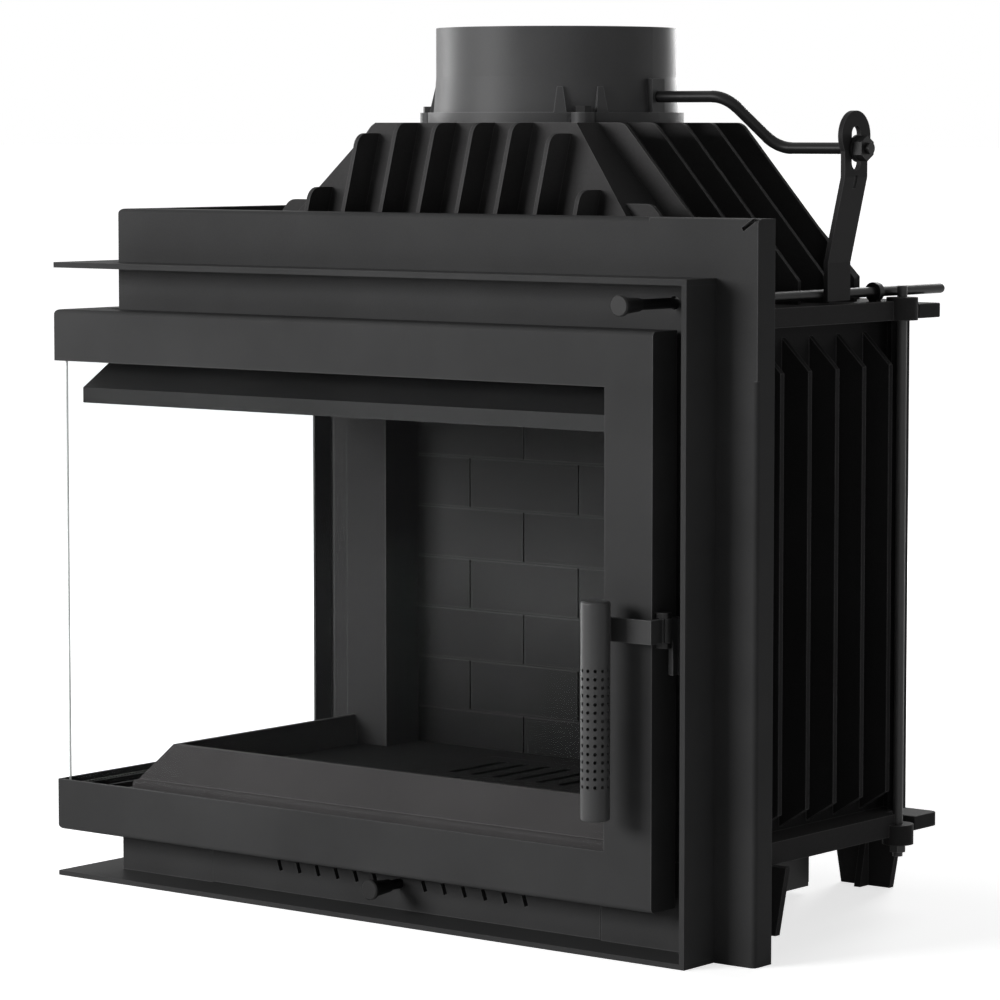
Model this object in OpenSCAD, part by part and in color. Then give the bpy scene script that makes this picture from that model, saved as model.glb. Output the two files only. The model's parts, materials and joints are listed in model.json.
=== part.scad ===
// Corner fireplace insert: ribbed cast firebox and smoke hood, glazed door that
// wraps the left corner, folded portal frame and trim, flue damper with crank.
// X = 0 is the door's right edge, Y = 0 its front face and Z = 0 the floor until
// placed() moves every piece to the common origin.

/* [Door] */
// Width of the door across the front
door_w = 608; // [500:1:760]
// Length of the door's side leg
door_leg = 345; // [340:1:346]
// Height of the door
door_h = 429.5; // [425:0.5:430]
// Gap between the floor and the door
door_lift = 38.5; // [38:0.5:42]
// Depth of the door's folded section
door_depth = 30; // [28:0.5:31]
// Height of the door's upper and lower bars
bar_h = 42; // [34:1:50]
// Width of the closing stile
stile_w = 44; // [34:1:60]
// Thickness of the door's steel sheet
door_sheet = 2; // [1.5:0.1:2.5]
// Outer radius of the folded edges
fold_r = 4; // [3:0.5:6]
// Thickness of the glass panes
glass_t = 4; // [3:0.5:5]
// Distance from the door's face to the glass
glass_back = 6; // [5:0.5:8]

/* [Portal] */
// Distance from the door's face back to the portal's face
reveal = 37.5; // [37:0.5:42]
// How far the portal reaches past the door's closing edge
portal_reach = 66.6; // [60:0.2:90]
// How far the portal reaches above the door
portal_rise = 82; // [72:1:130]
// Thickness of the portal's sheet
portal_sheet = 3; // [2:0.5:4]
// Depth of the portal's folded return
portal_return = 22; // [15:1:24]
// How far the portal's side leg reaches behind the door's leg
portal_leg_over = 10; // [8:1:12]

/* [Trim] */
// Thickness of the trim plates
trim_t = 4.5; // [3:0.5:6]
// Gap between the door's closing edge and the trim
trim_gap = 25.5; // [24:0.5:30]
// Height of the top trim's upper face above the door
trim_rise = 38.5; // [32:0.5:52]
// Thickness of the bottom trim plate
sill_t = 4; // [3:0.5:5]
// Width of the fascia's end pieces
fascia_end_w = 100; // [80:1:130]
// Height of the fascia's upper edge
fascia_top = 71.5; // [70:0.5:71.5]

/* [Firebox] */
// Height of the base plate's underside
base_z = 54; // [50:0.5:60]
// Thickness of the base plate
base_t = 17.5; // [12:0.5:18]
// Drop of the top plate's underside below the door's upper edge
roof_drop = 3.2; // [1:0.2:6]
// Thickness of the top plate
roof_t = 15; // [10:0.5:16]
// How far the base and top plates reach past the door's closing edge
plate_reach = 3; // [0:0.5:8]
// How far the base and top plates reach behind the door's side leg
plate_behind = 10; // [9:1:13]
// How far the rear lugs reach past the plates
lug_reach = 33; // [30:1:36]
// Depth of the cast cooling ribs
rib_depth = 25; // [15:1:26]
// Thickness of the cast cooling ribs
rib_t = 5; // [3:0.5:7]
// Spacing of the wall ribs
rib_pitch = 37.5; // [30:0.5:45]
// Thickness of the cast walls
wall_t = 6; // [5:0.5:8]
// Thickness of the fireback and the side liner
liner_t = 8; // [6:0.5:10]

/* [Smoke hood] */
// Width of the hood's flat top
hood_top_w = 202; // [200:1:208]
// Depth of the hood's flat top
hood_top_d = 210; // [205:1:214]
// Height of the hood's flat top above the top plate
hood_rise = 140; // [130:0.5:150]
// Height of the hood's skirt above the top plate
skirt_rise = 18.2; // [15:0.1:25]
// Distance from the door's face to the flue's axis
flue_y = 213; // [208:1:214]
// Spacing of the hood's front and rear ribs
hood_pitch = 38.4; // [36:0.2:41]
// Spacing of the hood's side ribs
hood_side_pitch = 39; // [36:0.5:40]

/* [Flue] */
// Radius of the spigot at its collar
spigot_r = 98; // [97:0.5:100]
// Radius of the spigot's straight seat for the flue pipe
spigot_seat_r = 96; // [95:0.5:97]
// Radius of the spigot's bore
flue_bore_r = 91; // [88.5:0.5:92]
// Height of the spigot above its collar
spigot_h = 67; // [60:0.5:80]
// Height of the straight seat, down from the spigot's top
spigot_seat_h = 39; // [30:1:40]
// Radius of the collar
collar_r = 102.5; // [102:0.5:104]
// Thickness of the collar
collar_t = 8; // [6:0.5:10]

/* [Damper] */
// Radius of the damper disc
damper_r = 87; // [70:0.5:88]
// Diameter of the damper's crank rod
crank_d = 9; // [7:0.5:10]
// Height of the damper's axis above the collar
damper_lift = 12.2; // [11:0.1:20]
// Rearward throw of the crank at rest, half of the rod's travel
crank_back = 30; // [24:0.5:32]
// Drop of the crank pin at rest
crank_drop = 40; // [36:0.5:44]
// Diameter of the control rod
rod_d = 8; // [6:0.5:9]
// Distance from the door's closing edge back to the control rod
rod_inset = 8.5; // [8:0.5:10]
// Height of the control rod above the top plate
rod_lift = 7.7; // [7:0.1:12]
// Length of the control rod behind the portal's face
rod_run = 366.2; // [350:0.2:380]
// Reach of the knob in front of the portal's face
knob_reach = 68; // [50:1:80]

/* [Handle] */
// Length of the grip tube
grip_l = 158.5; // [120:0.5:200]
// Outer radius of the grip tube
grip_r = 11; // [9:0.5:12]
// Wall of the grip tube
grip_wall = 1.5; // [1:0.1:2]
// Height of the grip's lower end
grip_z = 110.5; // [90:0.5:120]
// Height of the handle lever
lever_h = 17.7; // [14:0.1:24]
// Thickness of the handle lever
lever_t = 3; // [2:0.5:4]

/* [Ash drawer] */
// Height of the drawer's front panel
drawer_h = 33; // [30:0.5:33]
// Length of the ash tray
tray_l = 285; // [200:1:288]
// Number of air slots on each side of the knob
slot_count = 6; // [4:1:6]
// Spacing of the air slots
slot_pitch = 20; // [18:0.5:21]

/* [Hidden] */

$fn = 20;
// Extra depth of a cut so that it clears the face it starts from
overrun = 1;
// Gap between pieces that move past each other
slide_gap = 0.3;
// Radial play of a pin in its bush
pin_play = 0.05;

cast_iron = "#2b2a2b";
steel_black = "#343434";
satin_dark = "#3c3c3d";
seal_grey = "#5b5b58";
glass_tint = [0.85, 0.9, 0.9, 0.3];

door_top = door_lift + door_h;
door_x = -door_w;
portal_h = door_top + portal_rise;
trim_top = door_top + trim_rise;
portal_x = door_x + reveal;
portal_leg_y = door_leg + portal_leg_over;
portal_mid = (portal_x + portal_reach) / 2;
portal_inner = reveal + portal_sheet;
base_top = base_z + base_t;
roof_z = door_top - roof_drop;
roof_top = roof_z + roof_t;
hood_top_z = roof_top + hood_rise;
hood_skirt_z = roof_top + skirt_rise;
plate_back = door_leg + plate_behind;
plate_x = portal_x + portal_sheet;
// Plates stand this far past the ribs
plate_overlap = 3;
wall_x = plate_reach - rib_depth - plate_overlap;
wall_inner_x = wall_x - wall_t;
// The portal's opening ends this far below the door's upper edge
opening_drop = 36;
opening_top = door_top - opening_drop;
rear_wall_y = plate_back - wall_t;
left_wall_in = 24;
left_wall_x = plate_x + left_wall_in;
column_ahead = 53;
column_y = door_leg - column_ahead;
column_w = 44;
column_x = left_wall_x + column_w;
left_jamb_w = 50;
left_jamb_y = portal_leg_y - left_jamb_w;
fireback_room = 6;
fireback_y = rear_wall_y - liner_t - fireback_room;
// The hood stands this far to the left of the portal's middle
hood_shift = 2;
hood_x = portal_mid - hood_shift;
rod_z = roof_top + rod_lift;
pin_r = 4;
tie_r = 4;
tie_play = 0.3;
ear_r = 12.5;
ear_x = plate_reach;
front_ear_y = 85;
rear_ear_ahead = 28;
ear_ys = [front_ear_y, plate_back - rear_ear_ahead];
left_ear_x = plate_x + ear_r;

grip_x = -31.4;
grip_y = -27;
total_front = grip_y - grip_r;
total_back = reveal + rod_run;
home = [-(door_x + portal_reach) / 2, -(total_front + total_back) / 2, 0];

module placed(paint) color(paint) translate(home) children();

// Points of an arc about [x, y] from one angle to another
function arc(x, y, r, from, to, steps = 6) =
    [for (i = [0:steps]) let (a = from + (to - from) * i / steps) [x + r * cos(a), y + r * sin(a)]];

function lowest(points, axis) = min([for (p = points) p[axis]]);
function highest(points, axis) = max([for (p = points) p[axis]]);

// A profile of [depth, height] points extruded along X from x to x + run
module along_x(points, x, run) translate([x, 0, 0]) rotate([90, 0, 90]) linear_extrude(run) polygon(points);

// A profile of [x, height] points extruded along Y from y to y + run
module along_y(points, y, run)
    translate([0, y + run, 0]) rotate([90, 0, 0]) linear_extrude(run) polygon(points);

// A profile that runs along the front and, mitred at the corner, along the left side.
// Depth is measured inwards from the outer faces, which meet at [x, y].
module corner_run(points, x, y, run_x, run_y) {
    near = lowest(points, 0);
    far = highest(points, 0);
    bottom = lowest(points, 1);
    tall = highest(points, 1) - bottom;
    translate([x, y, 0]) {
        intersection() {
            along_x(points, near, run_x - near);
            translate([0, 0, bottom]) linear_extrude(tall)
                polygon([[near, near], [run_x, near], [run_x, far], [far, far]]);
        }
        intersection() {
            along_y(points, near, run_y - near);
            translate([0, 0, bottom]) linear_extrude(tall)
                polygon([[near, near], [far, far], [far, run_y], [near, run_y]]);
        }
    }
}

// A hexagonal nut that stands on the origin
module hex_nut(across, thick, bore_r) difference() {
    cylinder(h = thick, d = across / cos(30), $fn = 6);
    translate([0, 0, -overrun]) cylinder(h = thick + 2 * overrun, r = bore_r);
}

// Portal frame

module portal_band_profile_run() corner_run(concat(
    [[0, opening_top]],
    arc(fold_r, portal_h - fold_r, fold_r, 180, 90),
    [[portal_return, portal_h], [portal_return, portal_h - portal_sheet],
     [portal_sheet, portal_h - portal_sheet], [portal_sheet, opening_top]]),
    portal_x, reveal, portal_reach - portal_x, portal_leg_y - reveal);

module portal_right_jamb() linear_extrude(portal_h) polygon(concat(
    [[wall_inner_x, reveal]],
    arc(portal_reach - fold_r, reveal + fold_r, fold_r, -90, 0),
    [[portal_reach, reveal + portal_return], [portal_reach - portal_sheet, reveal + portal_return],
     [portal_reach - portal_sheet, portal_inner], [wall_inner_x, portal_inner]]));

relief_x = 13;
relief_z = 9;
relief_l = 24;
relief_h = 3;
relief_turn = 33;

module portal_frame() placed(satin_dark) difference() {
    union() {
        portal_band_profile_run();
        portal_right_jamb();
    }
    // Room for the fascia's right piece
    translate([wall_inner_x - overrun, reveal - overrun, -overrun])
        cube([trim_gap - wall_inner_x + overrun, portal_sheet + 2 * overrun, fascia_top + overrun]);
    // Hole for the control rod
    translate([-rod_inset, reveal - overrun, rod_z]) rotate([-90, 0, 0])
        cylinder(h = portal_sheet + 2 * overrun, d = rod_d + 2 * overrun);
    // Fold relief in the top right corner
    translate([portal_reach - relief_x, reveal - overrun, portal_h - relief_z])
        rotate([0, -relief_turn, 0]) cube([relief_l, portal_sheet + 2 * overrun, relief_h]);
}

module portal_left_jamb() placed(satin_dark) translate([portal_x, left_jamb_y, sill_t])
    cube([portal_sheet, portal_leg_y - left_jamb_y, opening_top - sill_t]);

// Trim plates

trim_right = trim_gap + trim_t;

module flat_trim(z, thick) corner_run(
    [[0, z], [0, z + thick], [reveal, z + thick], [reveal, z]],
    door_x, 0, trim_right - door_x, door_leg);

module top_trim() placed(satin_dark) flat_trim(trim_top - trim_t, trim_t);

// The sill runs on under the fascia and the ash drawer
module bottom_trim() placed(satin_dark) {
    flat_trim(0, sill_t);
    corner_run([[0, 0], [0, sill_t], [portal_sheet, sill_t], [portal_sheet, 0]],
        portal_x, reveal, wall_inner_x - portal_x, left_jamb_y - reveal);
}

module side_trim() placed(satin_dark) translate([trim_gap, 0, sill_t])
    cube([trim_t, reveal, trim_top - trim_t - sill_t]);

// Fascia under the door

fascia_x1 = portal_x + fascia_end_w;
fascia_x2 = trim_gap - fascia_end_w;
seam = 0.6;

module fascia_left() placed(satin_dark) corner_run(
    [[0, sill_t], [0, fascia_top], [portal_sheet, fascia_top], [portal_sheet, sill_t]],
    portal_x, reveal, fascia_end_w, left_jamb_y - reveal);

module fascia_right() placed(satin_dark) translate([fascia_x2, reveal, sill_t])
    cube([fascia_end_w, portal_sheet, fascia_top - sill_t]);

drawer_z = sill_t + seam;

module fascia_centre() placed(satin_dark) translate([fascia_x1, reveal, drawer_z + drawer_h + seam])
    cube([fascia_x2 - fascia_x1, portal_sheet, fascia_top - drawer_z - drawer_h - seam]);

// Firebox

ash_hole_w = 200;
ash_hole_d = 170;
ash_hole_y = 120;
plate_w = plate_reach - plate_x;
body_mid = (plate_reach + plate_x) / 2;
fascia_mid = (fascia_x1 + fascia_x2) / 2;
ear_h = 16;
ear_drop = 6.5;
roof_ear_h = 18;
side_notch = 11;
plate_corner_r = 6;

lug_w = 63;
lug_x = 35;
lug_t = 12;
rear_lug_y = plate_back + lug_reach;

// Rear lugs of a plate, one near each end, rounded at the back
module rear_lugs() for (side = [0, 1]) translate([side * body_mid * 2, 0]) mirror([side, 0]) {
    translate([-lug_x - lug_w, plate_back - lug_t]) square([lug_w, lug_reach + lug_t - plate_corner_r]);
    translate([-lug_x - lug_w + plate_corner_r, plate_back]) square([lug_w - 2 * plate_corner_r, lug_reach]);
    for (x = [-lug_x - lug_w + plate_corner_r, -lug_x - plate_corner_r])
        translate([x, rear_lug_y - plate_corner_r]) circle(r = plate_corner_r);
}

// Outline of a plate, stepped in behind its rear ears
module plate_outline() polygon(concat(
    [[plate_x, portal_inner], [plate_reach, portal_inner], [plate_reach, ear_ys[1]],
     [plate_reach - side_notch, ear_ys[1]]],
    arc(plate_reach - side_notch - plate_corner_r, plate_back - plate_corner_r, plate_corner_r, 0, 90),
    [[plate_x + side_notch, plate_back], [plate_x + side_notch, ear_ys[1]], [plate_x, ear_ys[1]]]));

// Puts its children at the three tie rods
module tie_places() {
    for (y = ear_ys) translate([ear_x, y, 0]) children();
    translate([left_ear_x, ear_ys[1], 0]) children();
}

module base_plate() placed(cast_iron) difference() {
    union() {
        translate([0, 0, base_z]) linear_extrude(base_t) plate_outline();
        translate([0, 0, base_z]) linear_extrude(lug_t) rear_lugs();
        tie_places() translate([0, 0, base_z - ear_drop]) cylinder(h = ear_h, r = ear_r);
        // Stiffening ribs under the plate on both sides of the ash opening
        for (side = [-1, 1]) translate([fascia_mid + side * (ash_hole_w / 2 + rib_t), ash_hole_y, 0])
            translate([-rib_t / 2, 0, base_z - rib_t]) cube([rib_t, ash_hole_d, rib_t]);
    }
    translate([fascia_mid - ash_hole_w / 2, ash_hole_y, base_z - overrun])
        cube([ash_hole_w, ash_hole_d, base_t + 2 * overrun]);
    tie_places() translate([0, 0, base_z - ear_drop - overrun])
        cylinder(h = ear_drop + base_t + 2 * overrun, r = tie_r + tie_play);
}

foot_t = 6;
foot_top_w = 66;
foot_w = 47;
rear_foot_x = -60;
front_foot_x = -16;
front_foot_in = 36;
front_foot_y = 150;
rear_foot_y = rear_lug_y - 2 * foot_t;

// One tapered foot with a sole turned back under it
module foot(x, y) translate([x, y, 0]) {
    along_y([[-foot_w / 2, 0], [foot_w / 2, 0], [foot_top_w / 2, base_z], [-foot_top_w / 2, base_z]], 0, foot_t);
    along_x([[foot_t, 0], [foot_t * 3, 0], [foot_t, base_z]], -foot_t / 2, foot_t);
}

module feet() placed(cast_iron) {
    foot(front_foot_x, front_foot_y);
    foot(plate_x + front_foot_in, front_foot_y);
    for (x = [rear_foot_x, 2 * body_mid - rear_foot_x])
        translate([0, rear_foot_y * 2 + foot_t, 0]) mirror([0, 1, 0]) foot(x, rear_foot_y);
}

wall_h = roof_z - base_top;
rib_top_margin = 10;
rib_foot_margin = 3;
rib_foot_rise = 19;
side_rib_y = 91;
wall_ribs = floor((rear_wall_y - side_rib_y) / rib_pitch) + 1;

// Rib of a wall as [outward, height] points, chamfered at both ends
function wall_rib(depth) = [[-overrun, base_top + rib_foot_margin], [0, base_top + rib_foot_margin],
    [depth, base_top + rib_foot_rise], [depth, roof_z - rib_top_margin - depth],
    [0, roof_z - rib_top_margin], [-overrun, roof_z - rib_top_margin]];

module right_wall() placed(cast_iron) {
    translate([wall_inner_x, portal_inner, base_top])
        cube([wall_t, rear_wall_y - portal_inner, wall_h]);
    translate([wall_x, 0, 0]) for (i = [0:wall_ribs - 1])
        along_y(wall_rib(rib_depth), side_rib_y + i * rib_pitch - rib_t / 2, rib_t);
}

rear_ribs = floor((wall_x - left_wall_x) / rib_pitch);
rear_rib_depth = 17;

flange_d = 11;
flange_x = plate_reach - side_notch;

// Ribbed rear wall, turned forward in a flange at its right end
module rear_wall() placed(cast_iron) {
    translate([left_wall_x, rear_wall_y, base_top]) cube([flange_x - left_wall_x, wall_t, wall_h]);
    translate([flange_x - wall_t, plate_back - flange_d - wall_t, base_top])
        cube([wall_t, flange_d + wall_t, wall_h]);
    translate([0, plate_back, 0]) for (i = [0:rear_ribs - 1])
        along_x(wall_rib(rear_rib_depth),
            (wall_x + left_wall_x + (2 * i - rear_ribs + 1) * rib_pitch - rib_t) / 2, rib_t);
}

column_step = 11;

// Hollow column between the side window and the fireback, with a stepped-back wing
module rear_left_column() placed(cast_iron) translate([0, 0, base_top]) linear_extrude(wall_h) difference() {
    union() {
        translate([left_wall_x, column_y]) square([column_w, rear_wall_y - column_y]);
        translate([plate_x, column_y + column_step]) square([left_wall_x - plate_x + wall_t, wall_t]);
    }
    translate([left_wall_x + wall_t, column_y + wall_t])
        square([column_w - 2 * wall_t, rear_wall_y - column_y - wall_t + overrun]);
}

hood_front_share = 0.3;
hood_rear_share = 0.15;
hood_drop = hood_top_z - hood_skirt_z;
hood_foot_in = 12.33;
hood_half_w = wall_inner_x - hood_x - hood_foot_in;
hood_side_share = (hood_half_w - hood_top_w / 2) / hood_drop;
hood_front_y = flue_y - hood_top_d / 2 - hood_front_share * hood_drop;
hood_rear_y = flue_y + hood_top_d / 2 + hood_rear_share * hood_drop;

module top_plate() placed(cast_iron) difference() {
    union() {
        translate([0, 0, roof_z]) linear_extrude(roof_t) plate_outline();
        tie_places() translate([0, 0, roof_z]) cylinder(h = roof_ear_h, r = ear_r);
        translate([0, 0, roof_z]) linear_extrude(lug_t) rear_lugs();
    }
    translate([hood_x - hood_half_w + wall_t, hood_front_y + wall_t, roof_z - overrun])
        cube([2 * (hood_half_w - wall_t), hood_rear_y - hood_front_y - 2 * wall_t, roof_t + 2 * overrun]);
    tie_places() translate([0, 0, roof_z - overrun])
        cylinder(h = roof_ear_h + 2 * overrun, r = tie_r + tie_play);
}

tie_end = 9;
tie_foot = 10;
tie_nut_w = 12;
tie_nut_t = 6.4;

// Threaded rods that clamp the plates, each with a nut under the base plate's ear
module tie_rods() placed(steel_black) tie_places() translate([0, 0, base_z - ear_drop]) {
    translate([0, 0, -tie_foot])
        cylinder(h = roof_z + roof_ear_h + tie_end - base_z + ear_drop + tie_foot, r = tie_r);
    translate([0, 0, -tie_nut_t]) hex_nut(tie_nut_w, tie_nut_t, tie_r);
}

// Smoke hood

hood_rib_r = 12;
hood_rib_depth = 25;
front_rib_clear = 12.5;
side_rib_clear = 8.4;
hood_front_ribs = 8;
hood_side_ribs = 6;
hood_rib_in = 26.54;
hood_side_rib_y = hood_front_y + hood_rib_in;
hood_rib_t = 3.6;

// Outline of the hood across X, shrunk on all sides by inset
function hood_across(inset, low) = [
    [-hood_half_w + inset, low], [hood_half_w - inset, low], [hood_half_w - inset, hood_skirt_z],
    [hood_top_w / 2 - inset, hood_top_z - inset], [inset - hood_top_w / 2, hood_top_z - inset],
    [-hood_half_w + inset, hood_skirt_z]];

// Outline of the hood along Y, shrunk on all sides by inset
function hood_along(inset, low) = [
    [hood_front_y + inset, low], [hood_rear_y - inset, low], [hood_rear_y - inset, hood_skirt_z],
    [flue_y + hood_top_d / 2 - inset, hood_top_z - inset],
    [flue_y - hood_top_d / 2 + inset, hood_top_z - inset], [hood_front_y + inset, hood_skirt_z]];

module hood_block(inset, low) intersection() {
    translate([hood_x, 0, 0]) along_y(hood_across(inset, low), hood_front_y, hood_rear_y - hood_front_y);
    along_x(hood_along(inset, low), hood_x - hood_half_w, 2 * hood_half_w);
}

// A hood rib as [outward, height] points: half is where its face starts at the hood's top,
// share the face's slope, lost how far the rib's own top lies below the hood's
function hood_rib(half, share, depth, lost) =
    let (top = hood_top_z - lost, root = half - wall_t / 2,
         tip = half + depth + share * (lost + hood_rib_r) - hood_rib_r * sqrt(1 + share * share))
    concat([[root + share * lost, top]],
        arc(tip, top - hood_rib_r, hood_rib_r, 90, atan(share)),
        [[half + depth + share * hood_drop, hood_skirt_z], [half + depth + share * hood_drop, roof_top],
         [root + share * hood_drop, roof_top], [root + share * hood_drop, hood_skirt_z]]);

// How far a rib at this offset stays below the hood's top, so that it ends before the ridge
function lost_at(offset, half, clear, share) = max(0, offset + clear - half) / share;

module hood_ribs() {
    for (i = [0:hood_front_ribs - 1]) let (x = (i - (hood_front_ribs - 1) / 2) * hood_pitch,
        lost = lost_at(abs(x), hood_top_w / 2, front_rib_clear, hood_side_share)) {
        translate([0, flue_y, 0]) mirror([0, 1, 0])
            along_x(hood_rib(hood_top_d / 2, hood_front_share, hood_rib_depth, lost),
                hood_x + x - hood_rib_t / 2, hood_rib_t);
        translate([0, flue_y, 0])
            along_x(hood_rib(hood_top_d / 2, hood_rear_share, hood_rib_depth, lost),
                hood_x + x - hood_rib_t / 2, hood_rib_t);
    }
    for (i = [0:hood_side_ribs - 1]) let (y = hood_side_rib_y + i * hood_side_pitch,
        lost = lost_at(flue_y - y, hood_top_d / 2, side_rib_clear, hood_front_share))
        for (side = [0, 1]) translate([hood_x, 0, 0]) mirror([side, 0, 0])
            along_y(hood_rib(hood_top_w / 2, hood_side_share, rib_depth, lost), y - hood_rib_t / 2, hood_rib_t);
}

bolt_r = 4;
bolt_count = 3;
bolt_turn = -41;
bolt_turns = [for (i = [0:bolt_count - 1]) bolt_turn + i * 360 / bolt_count];
bolt_ring_r = collar_r + bolt_r;
bolt_head_w = 12;
bolt_head_t = 5;
lug_r = 9;

module smoke_hood() placed(cast_iron) difference() {
    union() {
        hood_block(0, roof_top);
        hood_ribs();
    }
    hood_block(wall_t, roof_top - overrun);
    translate([hood_x, flue_y, hood_top_z - wall_t - overrun]) cylinder(h = wall_t + 2 * overrun, r = flue_bore_r);
    for (turn = bolt_turns) translate([hood_x, flue_y, hood_top_z - wall_t - overrun]) rotate([0, 0, turn])
        translate([bolt_ring_r, 0, 0]) cylinder(h = wall_t + 2 * overrun, r = bolt_r);
}

// Flue spigot

collar_z = hood_top_z + collar_t;
spigot_top = collar_z + spigot_h;
damper_z = collar_z + damper_lift;
pad_w = 16;
pad_h = 26.5;
pad_reach = 4;
gusset_h = 20;
gusset_foot = 10;
gusset_head = 4.5;
gusset_turn = 9.5;

// A gusset on the collar that narrows and leans back as it rises
module gusset() intersection() {
    rotate([90, 0, 90]) linear_extrude(collar_r) polygon([
        [-gusset_foot / 2, collar_z - overrun], [gusset_foot / 2, collar_z - overrun],
        [gusset_head / 2, collar_z + gusset_h], [-gusset_head / 2, collar_z + gusset_h]]);
    rotate([90, 0, 0]) translate([0, 0, -gusset_foot / 2]) linear_extrude(gusset_foot) polygon([
        [flue_bore_r + overrun, collar_z - overrun], [collar_r, collar_z - overrun],
        [spigot_r, collar_z + gusset_h], [flue_bore_r + overrun, collar_z + gusset_h]]);
}

module flue_spigot() placed(cast_iron) translate([hood_x, flue_y, 0]) difference() {
    union() {
        rotate_extrude($fn = 48) polygon([
            [flue_bore_r, hood_top_z], [collar_r, hood_top_z], [collar_r, collar_z], [spigot_r, collar_z],
            [spigot_seat_r, spigot_top - spigot_seat_h], [spigot_seat_r, spigot_top],
            [flue_bore_r, spigot_top]]);
        for (turn = bolt_turns) rotate([0, 0, turn]) {
            translate([0, 0, hood_top_z]) linear_extrude(collar_t) difference() {
                translate([bolt_ring_r, 0]) circle(r = lug_r);
                circle(r = flue_bore_r + overrun);
            }
            for (side = [-1, 1]) rotate([0, 0, side * gusset_turn]) gusset();
        }
        // Pads for the damper's shaft
        for (side = [0, 1]) mirror([side, 0, 0]) translate([flue_bore_r - overrun, -pad_w / 2, collar_z - overrun])
            cube([spigot_r + pad_reach - flue_bore_r + overrun, pad_w, pad_h + overrun]);
    }
    translate([0, 0, collar_z - collar_t - overrun])
        cylinder(h = spigot_h + collar_t + 2 * overrun, r = flue_bore_r, $fn = 48);
    translate([-spigot_r * 2, 0, damper_z]) rotate([0, 90, 0])
        cylinder(h = spigot_r * 4, d = crank_d + 2 * pin_play);
    for (turn = bolt_turns) rotate([0, 0, turn]) translate([bolt_ring_r, 0, hood_top_z - overrun])
        cylinder(h = collar_t + 2 * overrun, r = bolt_r);
}

module collar_bolts() placed(steel_black) translate([hood_x, flue_y, 0]) for (turn = bolt_turns)
    rotate([0, 0, turn]) translate([bolt_ring_r, 0, hood_top_z - wall_t]) {
        cylinder(h = collar_t + wall_t, r = bolt_r);
        translate([0, 0, collar_t + wall_t]) cylinder(h = bolt_head_t, d = bolt_head_w / cos(30), $fn = 6);
    }

// Linings

fireback_x1 = wall_inner_x - slide_gap;
fireback_x0 = column_x + slide_gap;
// The linings end this far below the top plate
liner_drop = 43.3;
fireback_h = roof_z - base_top - liner_drop;
fireback_w = fireback_x1 - fireback_x0;
joint_w = 2;
joint_d = 1.5;
course_count = 8;
bricks_across = 4;
course_h = fireback_h / course_count;
brick_w = fireback_w / bricks_across;

// Cast back panel with the joints of a brick bond sunk into its face
module fireback() placed(cast_iron) translate([fireback_x0, fireback_y, base_top]) difference() {
    cube([fireback_w, liner_t, fireback_h]);
    for (row = [1:course_count - 1]) translate([-overrun, -overrun, row * course_h - joint_w / 2])
        cube([fireback_w + 2 * overrun, joint_d + overrun, joint_w]);
    for (row = [0:course_count - 1], i = [1:bricks_across])
        translate([(i - row % 2 / 2) * brick_w - joint_w / 2, -overrun, row * course_h])
            cube([joint_w, joint_d + overrun, course_h]);
}

module right_liner() placed(cast_iron) translate([wall_inner_x - liner_t, portal_inner + wall_t, base_top])
    cube([liner_t, fireback_y - portal_inner - wall_t - slide_gap, fireback_h]);

lip_inset_x = 12;
lip_inset_y = 4.5;
lip_foot_h = 8.5;
lip_h = 36.5;
lip_z = base_top + lip_foot_h;
lip_top = base_top + lip_h;
lip_run = 20;
lip_flat = 4;
bead_r = 4;
lip_x = portal_x + lip_inset_x;
lip_y = portal_inner + lip_inset_y;

// Bevelled kerb that holds the embers back from both panes
module hearth_lip() placed(cast_iron) corner_run(concat(
    [[0, base_top], [-bead_r, base_top]],
    arc(0, base_top + bead_r, bead_r, 180, 90),
    [[0, lip_z], [lip_run, lip_top], [lip_run + lip_flat, lip_top],
     [lip_run + lip_flat * 2, base_top]]),
    lip_x, lip_y, wall_inner_x - liner_t - slide_gap - lip_x, column_y - slide_gap - lip_y);

floor_t = 12;
grate_t = 8;
grate_w = 236;
grate_y = 107;
grate_rear = 32;
grate_d = fireback_y - grate_y - grate_rear;
grate_gap = 1;
floor_x0 = lip_x + lip_run + lip_flat * 2 + grate_gap;
floor_y0 = lip_y + lip_run + lip_flat * 2 + grate_gap;
floor_x1 = wall_inner_x - liner_t - grate_gap;
ledge_w = 8;

module firebox_floor() placed(cast_iron) difference() {
    translate([0, 0, base_top]) linear_extrude(floor_t) polygon([
        [floor_x0, floor_y0], [floor_x1, floor_y0], [floor_x1, fireback_y - grate_gap],
        [column_x + grate_gap, fireback_y - grate_gap], [column_x + grate_gap, column_y - grate_gap],
        [floor_x0, column_y - grate_gap]]);
    translate([fascia_mid - grate_w / 2 - grate_gap, grate_y - grate_gap, base_top + floor_t - grate_t])
        cube([grate_w + 2 * grate_gap, grate_d + 2 * grate_gap, grate_t + overrun]);
    translate([fascia_mid - grate_w / 2 + ledge_w, grate_y + ledge_w, base_top - overrun])
        cube([grate_w - 2 * ledge_w, grate_d - 2 * ledge_w, floor_t + 2 * overrun]);
}

grate_bars = 9;
bar_slot = 9;
slot_margin = 16;

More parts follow.
